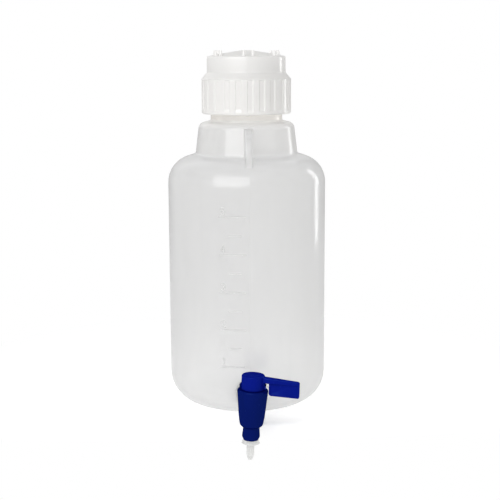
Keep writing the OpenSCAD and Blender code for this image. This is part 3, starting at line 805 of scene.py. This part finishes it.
def knob_part():
    """The knob and, below it, the plug with its bead and two O-ring grooves."""
    edge = 1.6
    line = [(0, KNOB_TOP_Z - 0.25), (8, KNOB_TOP_Z - 0.2), (9.6, KNOB_TOP_Z - 0.02)]
    line += arc(KNOB_R - edge, KNOB_TOP_Z - edge, edge, 88, -88, 8)
    line += [(KNOB_R, KNOB_Z + 0.4), (KNOB_R - 0.3, KNOB_Z), (KEY_R, KNOB_Z)]
    bead, crest = RIM_TOP_Z - BEAD_DROP, KEY_R + BEAD_H
    line += [(KEY_R, bead + 0.8), (crest, bead + 0.2), (crest, bead - 0.2), (KEY_R, bead - 0.8)]
    root = KEY_R - GROOVE_IN
    for ring in (OUTLET_Z + 9, OUTLET_Z - 10):
        above, below = ring + GROOVE_HALF, ring - GROOVE_HALF
        line += [(KEY_R, above), (root, above), (root, below), (KEY_R, below)]
    line += [(KEY_R, 12.7), (KEY_R - 0.8, 11.9), (0, 11.9)]
    return about_tap(lathe(line, even_turn(96)))


def paddle_part():
    """The thin web with a raised rim on both faces."""
    foot, end, inner = KNOB_TOP_Z - PADDLE_DROP, LEVER_REACH, RIM_R + 1
    end_z = KNOB_TOP_Z - LEVER_DROP

    def outline(t):
        line = arc(inner + 3, foot + 3, 3 - t, 180, 90, 6)
        line += arc(end - 1.5, foot + 1.5, 1.5 - min(t, 1.2), 270, 90, 5)
        line += arc(end - 1.5, end_z - 2.0, 1.5 - min(t, 1.2), 0, 86, 5)
        line += [(inner + t, KNOB_TOP_Z - 2.5 - t)]
        return line

    half, web = LEVER_T / 2, WEB_T / 2
    levels = [(PADDLE_RIM + 0.35, web), (PADDLE_RIM + 0.1, web + 0.12), (PADDLE_RIM - 0.1, half - 0.12),
              (PADDLE_RIM - 0.4, half), (0.45, half), (0.12, half - 0.14), (0, half - 0.45)]
    rings = []
    for sign in (-1, 1):
        for t, across in levels if sign < 0 else reversed(levels):
            rings.append([(x, sign * across, z) for x, z in outline(t)])
    return loft(rings)


def beam_part():
    """The tapering beam along the lever's top."""
    rings = []
    for i in range(25):
        share = i / 24
        x = KNOB_R - 2.5 + (LEVER_REACH - 0.4 - KNOB_R + 2.5) * share
        top = KNOB_TOP_Z - BEAM_DROP - (LEVER_DROP - BEAM_DROP) * share
        w = BEAM_W / 2 + (LEVER_T / 2 - BEAM_W / 2) * max(0, (x - KNOB_R - 2) / (LEVER_REACH - KNOB_R - 2))
        h = BEAM_H + 0.4 - (BEAM_H + 0.4 - BEAM_END_H) * max(0, (x - RIM_R) / (LEVER_REACH - RIM_R))
        end = 0.8 if i == 24 else 1.0
        w, mid, half = w * end, top - h / 2, h / 2 * end
        edge = min(1.2, half * 0.8, w * 0.8)
        ring = []
        for cy, cz, start in ((w - edge, half - edge, 0), (edge - w, half - edge, 90),
                              (edge - w, edge - half, 180), (w - edge, edge - half, 270)):
            ring += [(x, y, mid + z) for y, z in arc(cy, cz, edge, start, 90, 4)]
        rings.append(ring)
    return loft(rings)


def tab_part():
    """The tab that meets the ends of the stop wall."""
    half, low, high, inner, out = 1.5, RIM_TOP_Z + 0.6, RIM_TOP_Z + 4.4, KNOB_R - 1, STOP_OUT_R
    rings = []
    for x, t in ((inner, 0), (out - 0.4, 0), (out - 0.1, 0.15), (out, 0.4)):
        ring = []
        for cy, cz, start in ((half, high, 0), (-half, high, 90), (-half, low, 180), (half, low, 270)):
            sy, sz = math.copysign(0.4, cy), 0.4 if cz == high else -0.4
            ring += [(x, y, z) for y, z in arc(cy - sy, cz - sz, 0.4 - t * 0.9, start, 90, 3)]
        rings.append(ring)
    return loft(rings)


def build_tap():
    """The body that stays, and the key with its lever."""
    body = join(barrel_part(), stop_wall_part(), inlet_part())
    piece("tap_body_moulding", body, "bottle", TAP_SLOT, ["tap_body"], sharp=35)
    lever = about_tap(join(paddle_part(), beam_part(), tab_part()), LEVER_ANGLE)
    key = join(knob_part(), lever)
    piece("tap_key_moulding", key, "key", TAP_SLOT, ["tap_key"], sharp=35, look=KEY_LIT_LOOK)


def build_nozzle():
    """The flanged nozzle, from inside the spigot to its tapered tip."""
    flange = SPIGOT_FOOT_Z - 3.8
    foot = NOZZLE_FOOT_Z
    line = rounded([
        (NOZZLE_BORE_R, SPIGOT_FOOT_Z + SOCKET_DEPTH), (SOCKET_R - 0.1, SPIGOT_FOOT_Z + SOCKET_DEPTH, 0.4),
        (SOCKET_R - 0.05, SPIGOT_FOOT_Z),
        (SPIGOT_R - 0.6, SPIGOT_FOOT_Z, 0.4), (NOZZLE_FLANGE_R - 0.7, flange + 1.3, 2.5),
        (NOZZLE_FLANGE_R, flange, 0.25), (NOZZLE_FLANGE_R - 0.8, flange, 0.2),
        (NOZZLE_R + 1.4, flange + 2.0, 0.8), (NOZZLE_R + 0.5, flange + 1.6, 0.3),
        (NOZZLE_R + 0.5, flange - 0.6, 0.25), (NOZZLE_R, flange - 0.6, 0.1),
        (NOZZLE_R, foot + 6.2, 3.0), (2.9, foot + 1.5, 2.5), (2.1, foot, 0.4), (1.4, foot, 0.2),
        (1.5, foot + 2), (NOZZLE_BORE_R, foot + 6),
    ], 5)
    part = about_tap(lathe(resample(line, 2.5), even_turn(72), closed=True))
    piece("nozzle_moulding", part, "bottle", NOZZLE_SLOT, ["nozzle"], sharp=50)


def finish_cad_nodes():
    """Materials for the CAD nodes that show as they are."""
    slots = {row["node"]: row["material_slot"] for row in frame["record"]["subparts"]}
    for name, node in frame["nodes"].items():
        node.data.materials.clear()
        node.data.materials.append(LOOKS[slots[name]])


finish_cad_nodes()
build_bottle()
build_cap()
build_tap()
build_nozzle()


# ---------------------------------------------------------------- stage, lights and camera

# The backdrop's light on the object: its least and most, and the direction that it's most from
WORLD_DIM, WORLD_BRIGHT, WORLD_TOWARDS = 0.32, 0.92, (0.15, 0.1, -0.98)
FLOOR_COLOUR, FLOOR_LIFT = 0.85, 0.42
# Where the floor turns into plain white, in metres from the origin, with heights counted FLOOR_DROP times
FLOOR_NEAR, FLOOR_FAR, FLOOR_DROP = 0.12, 0.42, 20
BENCH_FRONT, BENCH_BACK, BENCH_HALF, BENCH_DEPTH, BENCH_EDGE = -0.101, 1.6, 1.8, 0.9, 4


def seen_directly(tree):
    """1 for rays of the camera, of gloss and through clear plastic, 0 for the rest."""
    path = tree.nodes.new("ShaderNodeLightPath")
    total = path.outputs["Is Camera Ray"]
    for kind in ("Is Glossy Ray", "Is Transmission Ray"):
        add = tree.nodes.new("ShaderNodeMath")
        add.operation, add.use_clamp = "ADD", True
        tree.links.new(total, add.inputs[0])
        tree.links.new(path.outputs[kind], add.inputs[1])
        total = add.outputs[0]
    return total


def white_floor():
    """A lit white that keeps the shadow, lifted to the backdrop's white where it's seen directly."""
    n = Nodes("bench_white")
    lit = n.add("ShaderNodeBsdfDiffuse")
    lit.inputs["Color"].default_value = (FLOOR_COLOUR, FLOOR_COLOUR, FLOOR_COLOUR, 1)
    lift = n.add("ShaderNodeMath", operation="MULTIPLY")
    lift.inputs[1].default_value = FLOOR_LIFT
    n.link(seen_directly(n.tree), lift.inputs[0])
    white = n.add("ShaderNodeEmission")
    white.inputs["Color"].default_value = (1, 1, 1, 1)
    n.link(lift.outputs[0], white.inputs["Strength"])
    both = n.add("ShaderNodeAddShader")
    n.link(lit.outputs["BSDF"], both.inputs[0])
    n.link(white.outputs["Emission"], both.inputs[1])
    far = n.add("ShaderNodeEmission")
    far.inputs["Color"].default_value = (1, 1, 1, 1)
    away = n.add("ShaderNodeVectorMath", operation="LENGTH")
    n.link(n.mapped((1, 1, FLOOR_DROP)), away.inputs[0])
    share = n.add("ShaderNodeMapRange", interpolation_type="SMOOTHSTEP")
    share.inputs["From Min"].default_value, share.inputs["From Max"].default_value = FLOOR_NEAR, FLOOR_FAR
    n.link(away.outputs["Value"], share.inputs["Value"])
    seen = n.add("ShaderNodeMath", operation="MULTIPLY")
    n.link(seen_directly(n.tree), seen.inputs[0])
    n.link(share.outputs["Result"], seen.inputs[1])
    return n.done(n.mix(seen.outputs[0], both.outputs["Shader"], far.outputs["Emission"]))


def build_stage():
    """A white bench whose edge ends behind the tap, so that the nozzle hangs free."""
    edge = arc(BENCH_EDGE, -BENCH_EDGE, BENCH_EDGE, 90, 90, 6)
    line = [(BENCH_BACK, 0)] + [(BENCH_FRONT + y * MM, z * MM) for y, z in edge]
    line += [(BENCH_FRONT, -BENCH_DEPTH)]
    points = [(x, y, z) for y, z in line for x in (-BENCH_HALF, BENCH_HALF)]
    faces = sheet_faces(len(line), 2, closed_columns=False)
    mesh = bpy.data.meshes.new("bench")
    mesh.from_pydata(points, [], faces)
    mesh.shade_smooth()
    bench = bpy.data.objects.new("bench", mesh)
    bpy.context.scene.collection.objects.link(bench)
    mesh.materials.append(white_floor())
    bench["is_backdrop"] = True


def build_world():
    """A white backdrop that lights the object more from below than from above."""
    world = bpy.data.worlds.new("studio")
    bpy.context.scene.world = world
    world.use_nodes = True
    tree = world.node_tree
    tree.nodes.clear()
    out = tree.nodes.new("ShaderNodeOutputWorld")
    mix = tree.nodes.new("ShaderNodeMixShader")
    tree.links.new(seen_directly(tree), mix.inputs["Fac"])
    skies = [tree.nodes.new("ShaderNodeBackground") for _ in range(2)]
    for slot, sky in enumerate(skies):
        sky.inputs["Color"].default_value = (1, 1, 1, 1)
        tree.links.new(sky.outputs[0], mix.inputs[slot + 1])
    towards = tree.nodes.new("ShaderNodeVectorMath")
    towards.operation = "DOT_PRODUCT"
    towards.inputs[1].default_value = WORLD_TOWARDS
    tree.links.new(tree.nodes.new("ShaderNodeTexCoord").outputs["Generated"], towards.inputs[0])
    level = tree.nodes.new("ShaderNodeMapRange")
    level.inputs["From Min"].default_value, level.inputs["From Max"].default_value = -1, 1
    level.inputs["To Min"].default_value, level.inputs["To Max"].default_value = WORLD_DIM, WORLD_BRIGHT
    tree.links.new(towards.outputs["Value"], level.inputs["Value"])
    tree.links.new(level.outputs["Result"], skies[0].inputs["Strength"])
    tree.links.new(mix.outputs[0], out.inputs["Surface"])


def area_light(name, place, target, size, power):
    """A soft lamp of a size in metres and a power in watts, turned to its target."""
    data = bpy.data.lights.new(name, "AREA")
    data.shape = "RECTANGLE"
    data.size, data.size_y = size
    data.energy = power
    light = bpy.data.objects.new(name, data)
    light.location = place
    light.rotation_euler = (Vector(target) - Vector(place)).to_track_quat("-Z", "Y").to_euler()
    bpy.context.scene.collection.objects.link(light)


def build_lights():
    """A large window at the front left, a strip at the right and a soft light from behind."""
    middle = (0, 0, 0.25)
    area_light("window_left", (-0.68, -1.32, 1.02), middle, (1.55, 1.4), 17.0)
    area_light("strip_right", (0.97, 0.50, 0.42), middle, (0.2, 0.85), 3.0)
    area_light("soft_behind", (-0.3, 1.5, 1.2), middle, (2.0, 1.6), 9.0)


def build_camera():
    """The camera at the viewing angle: distances in mm from the base's middle, pixels of 500."""
    azimuth, distance, height, pitch, roll = -2.0, 1302.2, 400.4, 9.87, -0.24
    focal_px, frame_px, axis_px = 1150, 500, 247.0
    data = bpy.data.cameras.new("camera")
    data.sensor_width = 36
    data.lens = data.sensor_width * focal_px / frame_px
    data.clip_end = 20
    camera = bpy.data.objects.new("camera", data)
    a = math.radians(azimuth)
    camera.location = Vector((distance * math.sin(a), -distance * math.cos(a), height)) * MM
    yaw = math.degrees(math.atan((frame_px / 2 - axis_px) / focal_px))
    turn = Matrix.Rotation(math.radians(azimuth - yaw), 3, "Z")
    tilt = Matrix.Rotation(math.radians(90 - pitch), 3, "X")
    camera.rotation_euler = (turn @ tilt @ Matrix.Rotation(math.radians(roll), 3, "Z")).to_euler()
    bpy.context.scene.collection.objects.link(camera)
    bpy.context.scene.camera = camera


build_stage()
build_world()
build_lights()
build_camera()
bpy.context.scene.view_settings.view_transform = "Standard"

boxes = {"cad": cad_box, "visual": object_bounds()}
{name: [list(map(float, end)) for end in box] for name, box in boxes.items()}
